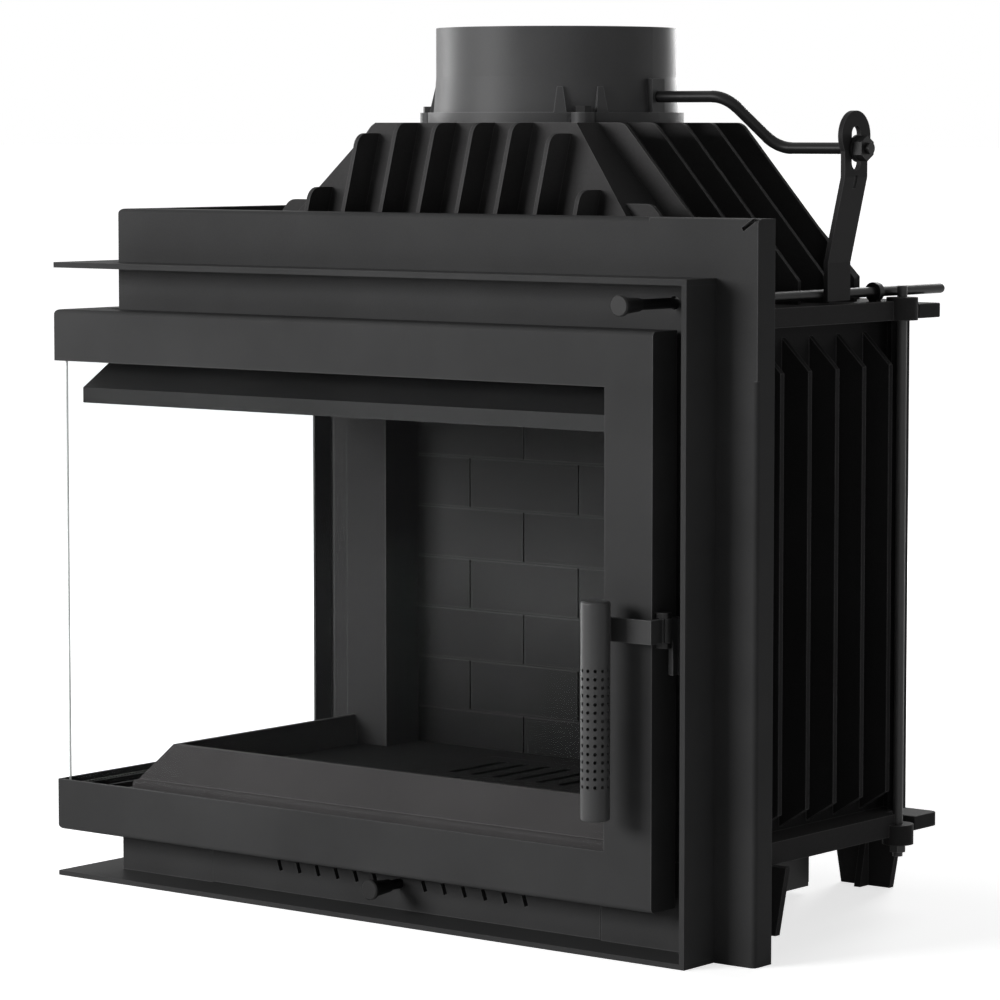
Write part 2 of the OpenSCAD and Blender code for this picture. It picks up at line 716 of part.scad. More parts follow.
module grate() placed(cast_iron) translate([fascia_mid - grate_w / 2, grate_y, base_top + floor_t - grate_t])
    difference() {
        cube([grate_w, grate_d, grate_t]);
        for (i = [0:grate_bars - 1], row = [0, 1])
            let (pitch = (grate_w - 2 * slot_margin) / grate_bars, slot_l = (grate_d - 3 * slot_margin) / 2)
            translate([slot_margin + (i + 0.5) * pitch, slot_margin + row * (slot_l + slot_margin), -overrun])
                linear_extrude(grate_t + 2 * overrun) {
                    translate([-bar_slot / 2, bar_slot / 2]) square([bar_slot, slot_l - bar_slot]);
                    for (y = [bar_slot / 2, slot_l - bar_slot / 2]) translate([0, y]) circle(d = bar_slot);
                }
    }

baffle_t = 12;
baffle_drop = 72.8;
baffle_z = roof_z - baffle_drop;
baffle_rise = 48;
baffle_y0 = 130;
baffle_gap = 2;
rest_t = 8;

// Baffle plate, which leans back from the front gap down to the fireback
module baffle() placed(cast_iron) along_x([
    [fireback_y - baffle_gap, baffle_z + rest_t + slide_gap],
    [fireback_y - baffle_gap, baffle_z + rest_t + slide_gap + baffle_t],
    [baffle_y0, baffle_z + rest_t + slide_gap + baffle_rise + baffle_t],
    [baffle_y0, baffle_z + rest_t + slide_gap + baffle_rise]],
    column_x + baffle_gap, wall_inner_x - liner_t - column_x - 2 * baffle_gap);

rest_w = 14;
rest_rise = baffle_rise * (fireback_y - baffle_gap - column_y) / (fireback_y - baffle_gap - baffle_y0);

module baffle_rests() placed(steel_black) for (x = [column_x, wall_inner_x - liner_t - rest_w])
    along_x([[fireback_y - baffle_gap, baffle_z], [fireback_y - baffle_gap, baffle_z + rest_t],
        [column_y, baffle_z + rest_t + rest_rise], [column_y, baffle_z + rest_rise]], x, rest_w);

// Sheet that guides washing air down both panes
wash_in = 13;
wash_x = door_x + wash_in;
wash_y = 20;
wash_drop = 77;
wash_z = door_top - wash_drop;
wash_lip = 12.5;
wash_run = 18;
wash_rise = 24;
wash_sheet = 2.5;
wash_flange = 22;
wash_gap = 11;
wash_x1 = -stile_w - wash_gap;
wash_top = wash_z + wash_lip + wash_rise;

module air_wash_deflector() placed(steel_black) {
    corner_run([[0, wash_z], [0, wash_z + wash_lip], [wash_run, wash_top],
        [wash_run + wash_sheet, wash_top], [wash_run + wash_sheet, wash_top - wash_sheet],
        [wash_sheet, wash_z + wash_lip - wash_sheet], [wash_sheet, wash_z]],
        wash_x, wash_y, wash_x1 - wash_x, column_y - wash_y);
    along_x([[wash_y + wash_run, wash_top - wash_sheet], [wash_y + wash_run, wash_top],
        [portal_inner, wash_top], [portal_inner, wash_top + wash_flange],
        [portal_inner + wash_sheet, wash_top + wash_flange],
        [portal_inner + wash_sheet, wash_top - wash_sheet]],
        plate_x + wash_sheet, wash_x1 - plate_x - wash_sheet);
}

// Control rod guides on the top plate

guide_ys = [114, 302];
guide_t = 6;
guide_r = 7.5;
guide_post_w = 7.5;
guide_cut = 30;

module rod_guides() placed(steel_black) for (y = guide_ys) difference() {
    union() {
        translate([-rod_inset, y, rod_z]) rotate([-90, 0, 0]) cylinder(h = guide_t, r = guide_r);
        translate([-rod_inset - guide_post_w / 2, y, roof_top]) cube([guide_post_w, guide_t, rod_lift]);
    }
    translate([-rod_inset, y - overrun, rod_z]) rotate([-90, 0, 0])
        cylinder(h = guide_t + 2 * overrun, d = rod_d + 2 * pin_play);
    translate([-rod_inset - guide_cut / 2, y - overrun, roof_top - guide_cut])
        cube([guide_cut, guide_t + 2 * overrun, guide_cut]);
}

// Latch keeper on the side trim

striker_r = 3.5;
keeper_x = 21;
keeper_y = 14;
keeper_h = 55;
keeper_t = 4;
keeper_w = 9;
keeper_rod_r = 2;
// Height of the lever above the grip's lower end
lever_up = 129.5;
lever_z = grip_z + lever_up;
keeper_below = 31;
keeper_z = lever_z - keeper_below;

module keeper_lug(z) translate([0, 0, z]) difference() {
    union() {
        translate([keeper_x, keeper_y - keeper_w / 2, 0])
            cube([trim_gap - keeper_x, keeper_w, keeper_t]);
        translate([keeper_x, keeper_y, 0]) cylinder(h = keeper_t, d = keeper_w);
    }
    translate([keeper_x, keeper_y, -overrun]) cylinder(h = keeper_t + 2 * overrun, r = keeper_rod_r);
}

module latch_keeper() placed(steel_black) {
    keeper_lug(keeper_z);
    keeper_lug(keeper_z + keeper_h - keeper_t);
}

module keeper_pin() placed(steel_black) translate([keeper_x, keeper_y, keeper_z]) {
    cylinder(h = keeper_h, r = keeper_rod_r);
    translate([0, 0, keeper_t]) cylinder(h = keeper_h - 2 * keeper_t, r = striker_r);
}

// Door hinge at the rear of the side leg

hinge_in = 16;
hinge_x = door_x + hinge_in;
hinge_ahead = 10;
hinge_y = door_leg - hinge_ahead;
hinge_plate_t = 5;
hinge_lift = 2.3;
hinge_plate_w = 28;
hinge_nose_w = 20;
bush_r = 7.5;
bush_h = 24;
top_hinge_z = door_top + hinge_lift;
low_hinge_z = door_lift - hinge_lift - hinge_plate_t;

module hinge_plate(z) difference() {
    union() {
        translate([hinge_x, hinge_y - hinge_plate_w / 2, z])
            cube([portal_x - hinge_x, hinge_plate_w, hinge_plate_t]);
        translate([hinge_x, hinge_y, z]) cylinder(h = hinge_plate_t, d = hinge_nose_w);
    }
    translate([hinge_x, hinge_y, z - overrun]) cylinder(h = hinge_plate_t + 2 * overrun, r = pin_r);
}

module hinge_brackets() placed(steel_black) {
    hinge_plate(top_hinge_z);
    hinge_plate(low_hinge_z);
}

module hinge_pins() placed(steel_black) {
    translate([hinge_x, hinge_y, top_hinge_z - bush_h]) cylinder(h = bush_h + hinge_plate_t, r = pin_r);
    translate([hinge_x, hinge_y, low_hinge_z]) cylinder(h = bush_h + hinge_plate_t, r = pin_r);
}

// Door

lower_web_gap = 6;
upper_web_gap = 4;
lower_web_top = door_lift + bar_h - lower_web_gap;
upper_web_low = door_top - bar_h + upper_web_gap;

// Folded upper bar as [depth, height] points
function upper_bar() = concat(
    [[0, door_top - bar_h]],
    arc(fold_r, door_top - fold_r, fold_r, 180, 90),
    [[door_depth, door_top], [door_depth, upper_web_low], [door_depth - door_sheet, upper_web_low],
     [door_depth - door_sheet, door_top - door_sheet], [door_sheet, door_top - door_sheet],
     [door_sheet, door_top - bar_h]]);

// Folded lower bar as [depth, height] points
function lower_bar() = concat(
    [[0, door_lift + bar_h], [door_sheet, door_lift + bar_h], [door_sheet, door_lift + door_sheet],
     [door_depth - door_sheet, door_lift + door_sheet], [door_depth - door_sheet, lower_web_top],
     [door_depth, lower_web_top], [door_depth, door_lift]],
    arc(fold_r, door_lift + fold_r, fold_r, 270, 180));

// Closed end of a bar with the same rounded edge: z is its outer edge, up 1 or -1 the way it widens
function bar_end(z, up) = concat(
    [[0, z + up * bar_h]],
    up < 0 ? arc(fold_r, z - fold_r, fold_r, 180, 90) : arc(fold_r, z + fold_r, fold_r, 180, 270),
    [[door_depth, z], [door_depth, z + up * bar_h]]);

// Section of the closing stile
module stile_section() polygon([
    [-stile_w, 0], [0, 0], [0, door_depth], [-stile_w, door_depth], [-stile_w, door_depth - door_sheet],
    [-door_sheet, door_depth - door_sheet], [-door_sheet, door_sheet], [-stile_w, door_sheet]]);

rear_stile_w = 23;

// Section of the rear stile on the side leg
module rear_stile_section() translate([door_x, door_leg]) polygon([
    [0, -rear_stile_w], [0, 0], [door_depth, 0], [door_depth, -rear_stile_w],
    [door_depth - door_sheet, -rear_stile_w], [door_depth - door_sheet, -door_sheet],
    [door_sheet, -door_sheet], [door_sheet, -rear_stile_w]]);

stile_z = door_lift + fold_r + door_sheet;
stile_h = door_h - 2 * (fold_r + door_sheet);

module door_frame() placed(steel_black) difference() {
    union() {
        corner_run(upper_bar(), door_x, 0, door_w, door_leg);
        corner_run(lower_bar(), door_x, 0, door_w, door_leg);
        for (z = [door_lift, door_top]) let (up = z > door_lift ? -1 : 1) {
            along_x(bar_end(z, up), -door_sheet, door_sheet);
            translate([door_x, 0, 0]) along_y(bar_end(z, up), door_leg - door_sheet, door_sheet);
        }
        translate([0, 0, stile_z]) linear_extrude(stile_h) {
            stile_section();
            rear_stile_section();
        }
    }
    for (z = [door_lift - overrun, door_top - door_sheet - overrun]) translate([hinge_x, hinge_y, z])
        cylinder(h = door_sheet + 2 * overrun, r = pin_r + pin_play);
}

module hinge_bushes() placed(steel_black) for (z = [door_top - door_sheet - bush_h, door_lift + door_sheet])
    translate([hinge_x, hinge_y, z]) difference() {
        cylinder(h = bush_h, r = bush_r);
        translate([0, 0, -overrun]) cylinder(h = bush_h + 2 * overrun, r = pin_r + pin_play);
    }

glass_lap = 12;
stile_lap = 14;
rear_lap = 8;
glass_z0 = door_lift + bar_h - glass_lap;
glass_z1 = door_top - bar_h + glass_lap;
glass_x = door_x + glass_back;
glass_right = -stile_w + stile_lap;
glass_rear = door_leg - rear_stile_w + rear_lap;
glass_joint = 0.4;

module front_glass() placed(glass_tint) translate([0, 0, glass_z0]) linear_extrude(glass_z1 - glass_z0)
    polygon([[glass_x + glass_joint, glass_back], [glass_right, glass_back],
        [glass_right, glass_back + glass_t], [glass_x + glass_t + glass_joint, glass_back + glass_t]]);

module side_glass() placed(glass_tint) translate([0, 0, glass_z0]) linear_extrude(glass_z1 - glass_z0)
    polygon([[glass_x, glass_back + glass_joint], [glass_x + glass_t, glass_back + glass_t + glass_joint],
        [glass_x + glass_t, glass_rear], [glass_x, glass_rear]]);

gasket_h = 7;

module glass_gasket() placed(seal_grey) for (z = [glass_z0, glass_z1 - gasket_h]) corner_run(
    [[door_sheet, z], [door_sheet, z + gasket_h], [glass_back, z + gasket_h], [glass_back, z]],
    door_x, 0, glass_right - door_x, glass_rear);

retainer_back = glass_back + glass_t;
retainer_t = 2;
retainer_foot = 14;
retainer_gap = 1;
retainer_rear = hinge_y - bush_r - retainer_gap;

// Angles that hold the panes against the bars from inside
module glass_retainers() placed(steel_black) {
    corner_run([[retainer_back, glass_z1 - gasket_h], [retainer_back, door_top - door_sheet],
        [retainer_back + retainer_foot, door_top - door_sheet],
        [retainer_back + retainer_foot, door_top - door_sheet - retainer_t],
        [retainer_back + retainer_t, door_top - door_sheet - retainer_t],
        [retainer_back + retainer_t, glass_z1 - gasket_h]],
        door_x, 0, glass_right - door_x, retainer_rear);
    corner_run([[retainer_back, glass_z0 + gasket_h], [retainer_back + retainer_t, glass_z0 + gasket_h],
        [retainer_back + retainer_t, door_lift + door_sheet + retainer_t],
        [retainer_back + retainer_foot, door_lift + door_sheet + retainer_t],
        [retainer_back + retainer_foot, door_lift + door_sheet], [retainer_back, door_lift + door_sheet]],
        door_x, 0, glass_right - door_x, retainer_rear);
}

seal_w = 10;
seal_out = reveal - slide_gap;
seal_margin = 8;
seal_edge = 1;

// Section of the rope seal as [depth, height] points, with its lower edge at z
function rope(z) = [[door_depth, z], [door_depth, z + seal_w], [seal_out - seal_edge, z + seal_w],
    [seal_out, z + seal_w - seal_edge], [seal_out, z + seal_edge], [seal_out - seal_edge, z]];

// Rope seal on the back of the door
module door_seal() placed(seal_grey) {
    for (z = [door_lift + seal_margin, door_top - seal_margin - seal_w])
        corner_run(rope(z), door_x, 0, door_w - seal_margin, door_leg - rear_stile_w);
    translate([-seal_margin - seal_w, door_depth, door_lift + seal_margin + seal_w])
        cube([seal_w, seal_out - door_depth, door_h - 2 * seal_margin - 2 * seal_w]);
}

// Handle

pivot_x = 6.5;
pivot_y = 8;
pivot_pin_r = 2.5;
knuckle_r = 4.5;
lug_thick = 4;
lever_y = -12;
side_run_x = 5;
side_run_y = 18;
hook_x = 5;
hook_t = 4;
hook_y0 = 2;
hook_y1 = 24;
hook_drop = 25;
hook_clear = 1.5;
nose_x = 17;

module handle_bracket() placed(steel_black) difference() {
    for (z = [lever_z - lug_thick - slide_gap, lever_z + lever_h + slide_gap]) translate([0, 0, z]) {
        translate([0, pivot_y - knuckle_r, 0]) cube([pivot_x, 2 * knuckle_r, lug_thick]);
        translate([pivot_x, pivot_y, 0]) cylinder(h = lug_thick, r = knuckle_r);
    }
    translate([pivot_x, pivot_y, lever_z - 2 * lug_thick])
        cylinder(h = lever_h + 4 * lug_thick, r = pivot_pin_r);
}

module handle_pin() placed(steel_black) translate([pivot_x, pivot_y, lever_z - lug_thick - slide_gap])
    cylinder(h = lever_h + 2 * lug_thick + 2 * slide_gap, r = pivot_pin_r);

// Flat lever bent round the door's edge, with its knuckle and latch hook
module handle_lever() placed(steel_black) difference() {
    union() {
        translate([0, 0, lever_z]) linear_extrude(lever_h) {
            translate([grip_x, lever_y]) square([side_run_x + lever_t - grip_x, lever_t]);
            translate([side_run_x, lever_y]) square([lever_t, side_run_y - lever_y]);
            translate([grip_x, grip_y + grip_r])
                square([lever_t, lever_y + lever_t - grip_y - grip_r]);
            translate([pivot_x, pivot_y]) circle(r = knuckle_r);
            translate([hook_x, hook_y0]) square([hook_t, hook_y1 - hook_y0]);
        }
        // Hook plate that hangs below the lever beside the lower lug, and its nose
        translate([0, 0, lever_z - hook_drop]) linear_extrude(hook_drop + lever_h) {
            translate([hook_x, pivot_y + knuckle_r + hook_clear])
                square([hook_t, hook_y1 - pivot_y - knuckle_r - hook_clear]);
            translate([hook_x, hook_y1 - hook_t]) square([nose_x - hook_x, hook_t]);
        }
    }
    translate([pivot_x, pivot_y, lever_z - overrun])
        cylinder(h = lever_h + 2 * overrun, r = pivot_pin_r + pin_play);
}

module handle_grip() placed(satin_dark) translate([grip_x, grip_y, grip_z]) difference() {
    cylinder(h = grip_l, r = grip_r);
    translate([0, 0, -overrun]) cylinder(h = grip_l + 2 * overrun, r = grip_r - grip_wall);
}

cap_t = 2;
cap_plug = 8;

module grip_caps() placed(satin_dark) translate([grip_x, grip_y, grip_z]) for (end = [0, 1])
    translate([0, 0, end * grip_l]) mirror([0, 0, end]) rotate_extrude() polygon(concat(
        [[0, -cap_t], [grip_r - cap_t, -cap_t]],
        arc(grip_r - cap_t, 0, cap_t, -90, 0, 4),
        [[grip_r - grip_wall, 0], [grip_r - grip_wall, cap_plug], [0, cap_plug]]));

// Damper control

knob_r = 8;
knob_disc = 3;
knob_neck = 24;
knob_neck_r = 6.5;
knob_edge = 1;
knob_root = 1;

// A turned pull knob on the end of a rod along Y, with its face at the origin
module pull_knob(stem_d) rotate([-90, 0, 0]) rotate_extrude() polygon([
    [0, 0], [knob_r - knob_edge, 0], [knob_r, knob_edge], [knob_r, knob_disc],
    [knob_neck_r, knob_disc + knob_edge], [stem_d / 2 + knob_root, knob_neck], [0, knob_neck]]);

knob_y = reveal - knob_reach;

module control_knob() placed(steel_black) translate([-rod_inset, knob_y, rod_z]) pull_knob(rod_d);

module control_rod() placed(steel_black) translate([-rod_inset, knob_y + knob_neck, rod_z]) rotate([-90, 0, 0]) {
    cylinder(h = total_back - knob_y - knob_neck - rod_d / 2, d = rod_d);
    translate([0, 0, total_back - knob_y - knob_neck - rod_d / 2]) sphere(d = rod_d);
}

crank_w = sqrt(crank_back * crank_back + crank_drop * crank_drop);
crank_lean = atan2(crank_back, crank_drop);
pin_z = damper_z - crank_drop;
strap_y = flue_y + crank_back;
strap_t = 4;
strap_w = 31;
strap_head_r = 19.5;
strap_head_up = 9.5;
strap_x = rod_d / 2 - rod_inset;
strap_out = 10.5;
strap_bend_up = 32.2;
strap_upright_up = 98.2;
strap_bend_z = roof_top + strap_bend_up;
strap_upright_z = roof_top + strap_upright_up;
strap_foot = 5;
slot_w = 12.4;
slot_low = 16.7;
slot_high = 17.3;
small_slot_w = 4;
small_slot_l = 16;
small_slot_drop = 14;

// Joggled steel strap from the control rod up to the crank pin
module damper_strap() placed(steel_black) intersection() {
    along_y([[strap_x, rod_z - strap_foot], [strap_x + strap_t, rod_z - strap_foot],
        [strap_x + strap_t, strap_bend_z], [strap_out + strap_t, strap_upright_z],
        [strap_out + strap_t, pin_z + 2 * strap_head_r], [strap_out, pin_z + 2 * strap_head_r],
        [strap_out, strap_upright_z], [strap_x, strap_bend_z]],
        strap_y - strap_head_r, 2 * strap_head_r);
    translate([strap_x - overrun, strap_y, 0]) rotate([90, 0, 90])
        linear_extrude(strap_out + strap_t - strap_x + 2 * overrun) difference() {
            union() {
                translate([-strap_w / 2, rod_z - strap_foot])
                    square([strap_w, pin_z - rod_z + strap_foot]);
                translate([0, pin_z + strap_head_up]) circle(r = strap_head_r);
            }
            // Slot for the crank pin
            translate([-slot_w / 2, pin_z - slot_low + slot_w / 2]) square([slot_w, slot_low + slot_high - slot_w]);
            for (z = [pin_z - slot_low + slot_w / 2, pin_z + slot_high - slot_w / 2])
                translate([0, z]) circle(d = slot_w);
            // Narrow slot below it
            translate([-small_slot_w / 2, pin_z - slot_low - small_slot_drop])
                square([small_slot_w, small_slot_drop - small_slot_w]);
        }
}

crank_bend_r = 22;
crank_bend = 60;
crank_start = 154;
crank_end = 28.5;
crank_tail = 107;
// The rod swells by this much where it is bent
bend_swell = 0.15;
crank_rise = crank_w - 2 * crank_bend_r * (1 - cos(crank_bend));
crank_slant = crank_rise / sin(crank_bend);
crank_x1 = crank_start + crank_bend_r * sin(crank_bend);
crank_w1 = crank_bend_r * (1 - cos(crank_bend));
crank_x2 = crank_x1 + crank_slant * cos(crank_bend);
crank_x3 = crank_x2 + crank_bend_r * sin(crank_bend);

// A straight stretch of the crank's rod from [x, across] towards the given angle
module crank_straight(x, across, turn, run) translate([x, across, 0]) rotate([0, 0, turn]) rotate([0, 90, 0])
    cylinder(h = run, d = crank_d);

// A bend of the crank's rod about [x, across], which starts at the given angle
module crank_curve(x, across, turn) translate([x, across, 0]) rotate([0, 0, turn])
    rotate_extrude(angle = crank_bend) translate([crank_bend_r, 0]) circle(r = crank_d / 2 + bend_swell, $fn = 16);

// Damper shaft and crank bent from one rod; X runs along it from the flue's axis
module damper_crank() placed(steel_black)
    translate([hood_x, flue_y, damper_z]) rotate([crank_lean - 90, 0, 0]) {
        crank_straight(-crank_tail, 0, 0, crank_tail + crank_start + overrun);
        crank_curve(crank_start, crank_bend_r, -90);
        crank_straight(crank_x1 - overrun * cos(crank_bend), crank_w1 - overrun * sin(crank_bend),
            crank_bend, crank_slant + 2 * overrun);
        crank_curve(crank_x3, crank_w - crank_bend_r, 90);
        crank_straight(crank_x3 - overrun, crank_w, 0, crank_end - hood_x - crank_x3 + overrun);
    }

disc_t = 3;
disc_vent = 50;
disc_hub_l = 106;

// Butterfly disc with a segment cut away, so that smoke always has a way out
module damper_disc() placed(steel_black) translate([hood_x, flue_y, damper_z]) difference() {
    union() {
        translate([0, 0, -disc_t / 2]) cylinder(h = disc_t, r = damper_r, $fn = 48);
        translate([-disc_hub_l / 2, 0, 0]) rotate([0, 90, 0]) cylinder(h = disc_hub_l, d = crank_d + 2 * disc_t);
    }
    translate([-damper_r * 2, 0, 0]) rotate([0, 90, 0]) cylinder(h = damper_r * 4, d = crank_d);
    translate([-damper_r, damper_r - disc_vent / 2, -disc_t]) cube([2 * damper_r, disc_vent, 2 * disc_t]);
}

washer_r = 10.5;
washer_t = 2;
nut_across = 17;
nut_t = 8;

module crank_nut() placed(steel_black) translate([strap_out + strap_t + slide_gap, strap_y, pin_z]) {
    rotate([0, 90, 0]) difference() {
        cylinder(h = washer_t, r = washer_r);
        translate([0, 0, -overrun]) cylinder(h = washer_t + 2 * overrun, d = crank_d);
    }
    translate([washer_t, 0, 0]) rotate([0, 90, 0]) hex_nut(nut_across, nut_t, crank_d / 2);
}

// Ash drawer with its air valve

drawer_x = fascia_x1 + seam;
drawer_w = fascia_x2 - fascia_x1 - 2 * seam;
stem_d = 8;
stem_z = 25.4;
slot_z = 26;
slot_h = 9;
air_slot_w = 4;
slot_start = 25;
slot_lean = 20;

module ash_drawer_front() placed(satin_dark) difference() {
    translate([drawer_x, reveal, drawer_z]) cube([drawer_w, portal_sheet, drawer_h]);
    for (side = [-1, 1], i = [0:slot_count - 1])
        translate([fascia_mid + side * (slot_start + i * slot_pitch), reveal - overrun, slot_z])
            rotate([0, -slot_lean, 0]) translate([-air_slot_w / 2, 0, -slot_h / 2])
                cube([air_slot_w, portal_sheet + 2 * overrun, slot_h]);
    translate([fascia_mid, reveal - overrun, stem_z]) rotate([-90, 0, 0])
        cylinder(h = portal_sheet + 2 * overrun, d = stem_d + 2 * pin_play);
}

tray_z = 7.3;
tray_sheet = 1.5;
tray_h = 29;
tray_margin = 6;
tray_x = drawer_x + tray_margin;
tray_w = drawer_w - 2 * tray_margin;
valve_room = 24;

// Open tray behind the valve, fixed to the drawer's front by its side cheeks
module ash_tray() placed(steel_black) translate([tray_x, portal_inner, tray_z]) difference() {
    cube([tray_w, tray_l, tray_h]);
    translate([tray_sheet, valve_room, tray_sheet])
        cube([tray_w - 2 * tray_sheet, tray_l - valve_room - tray_sheet, tray_h]);
    translate([tray_sheet, -overrun, tray_sheet])
        cube([tray_w - 2 * tray_sheet, valve_room - tray_sheet + overrun, tray_h]);
    translate([fascia_mid - tray_x, -overrun, stem_z - tray_z]) rotate([-90, 0, 0])
        cylinder(h = valve_room + 2 * overrun, d = stem_d + 2 * pin_play);
}

valve_t = 2;
valve_travel = 12;
valve_h = 20;
valve_w = 2 * (slot_start + slot_count * slot_pitch);

module air_valve_plate() placed(steel_black) translate([fascia_mid - valve_w / 2, portal_inner + slide_gap, slot_z - valve_h / 2])
    difference() {
        cube([valve_w, valve_t, valve_h]);
        translate([valve_w / 2, -overrun, stem_z - slot_z + valve_h / 2]) rotate([-90, 0, 0])
            cylinder(h = valve_t + 2 * overrun, d = stem_d);
    }

air_knob_y = 0;
stem_past = 3;

module air_knob() placed(steel_black) translate([fascia_mid, air_knob_y, stem_z]) pull_knob(stem_d);

module air_valve_stem() placed(steel_black) translate([fascia_mid, air_knob_y + knob_neck, stem_z])
    rotate([-90, 0, 0]) cylinder(h = portal_inner + valve_room + stem_past - air_knob_y - knob_neck, d = stem_d);

runner_t = 2;
runner_ledge = 12;
runner_l = 280;

// Angle runners that hang from the base plate and carry the tray
module drawer_runners() placed(steel_black) for (side = [0, 1])
    translate([fascia_mid, 0, 0]) mirror([side, 0, 0]) translate([-tray_w / 2 - grate_gap - runner_t, 0, 0])
        along_y([[0, tray_z - slide_gap - runner_t], [0, base_z], [runner_t, base_z],
            [runner_t, tray_z - slide_gap], [runner_ledge, tray_z - slide_gap],
            [runner_ledge, tray_z - slide_gap - runner_t]], portal_inner, runner_l);

portal_frame();
portal_left_jamb();
top_trim();
side_trim();
bottom_trim();
fascia_left();
fascia_centre();
fascia_right();
base_plate();
feet();
right_wall();
rear_wall();
rear_left_column();
top_plate();
tie_rods();
smoke_hood();
flue_spigot();
collar_bolts();
fireback();
right_liner();
hearth_lip();
firebox_floor();
grate();
baffle();
baffle_rests();
air_wash_deflector();
rod_guides();
latch_keeper();
keeper_pin();
hinge_brackets();
hinge_pins();
drawer_runners();
door_frame();
hinge_bushes();
front_glass();
side_glass();
glass_gasket();
glass_retainers();
door_seal();
handle_bracket();
handle_pin();
handle_lever();
handle_grip();
grip_caps();
control_rod();
control_knob();
damper_strap();
damper_crank();
damper_disc();
crank_nut();
ash_drawer_front();
ash_tray();
air_valve_plate();
air_valve_stem();
air_knob();
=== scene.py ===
"""Looks for the corner fireplace insert: paint, castings, glass, light and camera.

Lengths and places are in metres."""

import json
import math

import bmesh
import bpy
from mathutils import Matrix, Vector


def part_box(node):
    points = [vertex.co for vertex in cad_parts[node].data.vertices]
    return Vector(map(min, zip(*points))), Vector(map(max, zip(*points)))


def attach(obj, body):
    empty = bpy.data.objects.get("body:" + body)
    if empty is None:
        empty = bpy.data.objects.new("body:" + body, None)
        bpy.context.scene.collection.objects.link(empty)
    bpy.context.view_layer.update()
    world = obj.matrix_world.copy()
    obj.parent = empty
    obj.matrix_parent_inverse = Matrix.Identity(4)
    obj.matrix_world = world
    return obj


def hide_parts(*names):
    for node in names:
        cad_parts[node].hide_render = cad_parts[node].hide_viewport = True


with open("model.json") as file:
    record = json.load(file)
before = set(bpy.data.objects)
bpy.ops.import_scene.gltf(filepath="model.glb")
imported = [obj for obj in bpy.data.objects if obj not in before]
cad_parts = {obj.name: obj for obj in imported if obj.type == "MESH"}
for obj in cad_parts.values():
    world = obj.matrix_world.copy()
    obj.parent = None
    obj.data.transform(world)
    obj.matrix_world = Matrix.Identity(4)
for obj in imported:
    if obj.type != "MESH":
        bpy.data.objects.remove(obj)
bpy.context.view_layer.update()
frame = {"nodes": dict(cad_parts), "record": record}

# Camera, as fitted to the photograph
CAMERA_AT = Vector((2.0779, -2.6374, 0.6163))
CAMERA_TURN = math.radians(38.455)
CAMERA_PITCH = math.radians(5.09)
CAMERA_LENS = 150.73
SENSOR = 36.0

# Soft boxes: place, width and height, and watts. All look at one point in the object
LAMP_TARGET = (0, 0, 0.35)
LAMPS = {
    "key": ((-1.35, -2.75, 1.1), (1.6, 1.0), 80),
    "fill": ((2.3, -2.5, 0.8), (0.4, 1.4), 4),
    "left": ((-3.0, -0.1, 0.65), (0.5, 1.1), 35),
    "right": ((3.2, 0.15, 0.8), (0.4, 1.8), 3),
    "back": ((-0.8, 3.2, 1.3), (1.2, 1.2), 45),
}
WORLD_LIGHT = 0.03

# Pale floor: it glows for what looks straight at it, less near the object, where its shadow lies
FLOOR_SIZE = 200.0
FLOOR_GREY = (0.86, 0.86, 0.86, 1)
SHADOW_REACH = (0.5, 1.6)
SHADOW_GLOW = 0.72

# Colours as linear values
SATIN_BLACK = (0.046, 0.046, 0.0465, 1)
CAST_DARK = (0.044, 0.043, 0.0435, 1)
# The walls and the smoke hood are one cast paint: the walls darker as painted shade, the hood lighter as
# painted light
WALL_SHADED_DARK = (0.028, 0.0275, 0.028, 1)
HOOD_LIT_GREY = (0.058, 0.057, 0.0575, 1)
FLUE_GREY = (0.056, 0.056, 0.057, 1)
LINING = (0.038, 0.0375, 0.0375, 1)
FIRE_BED_GREY = (0.050, 0.0495, 0.0495, 1)
LIP_GREY = (0.062, 0.0585, 0.059, 1)
BLACK_STEEL = (0.013, 0.0128, 0.013, 1)
ROD_GREY = (0.090, 0.089, 0.089, 1)
STRAP_DARK = (0.026, 0.0255, 0.026, 1)
GRIP_GREY = (0.058, 0.058, 0.0585, 1)
ROPE = (0.10, 0.096, 0.09, 1)
SILICONE = (0.62, 0.64, 0.63, 1)
GLASS_TINT = (0.985, 0.99, 0.99, 1)
GLASS_SHINE = (0.9, 0.93, 0.93, 1)

# Lighter edges, partly wear and partly a painted highlight: how much lighter than the paint, how wide,
# and the cosine of the bend where the lightening starts and where it is full
EDGE_WEAR_AND_HIGHLIGHT = 2.4
EDGE_WIDTH = 0.0012
EDGE_START = 0.995
EDGE_FULL = 0.80
# Clouds in the paint and its relief
CLOUD_SCALE = 9.0
LUMP_SHARE = 0.22
RELIEF_DEPTH = 0.0006
# Darker towards the fire bed: full below the low height, gone above the high one, with an uneven limit
BED_DARK_LOW = 0.10
BED_DARK_HIGH = 0.25
BED_DARK_TONE = 0.22
BED_DARK_DRIFT = 0.05

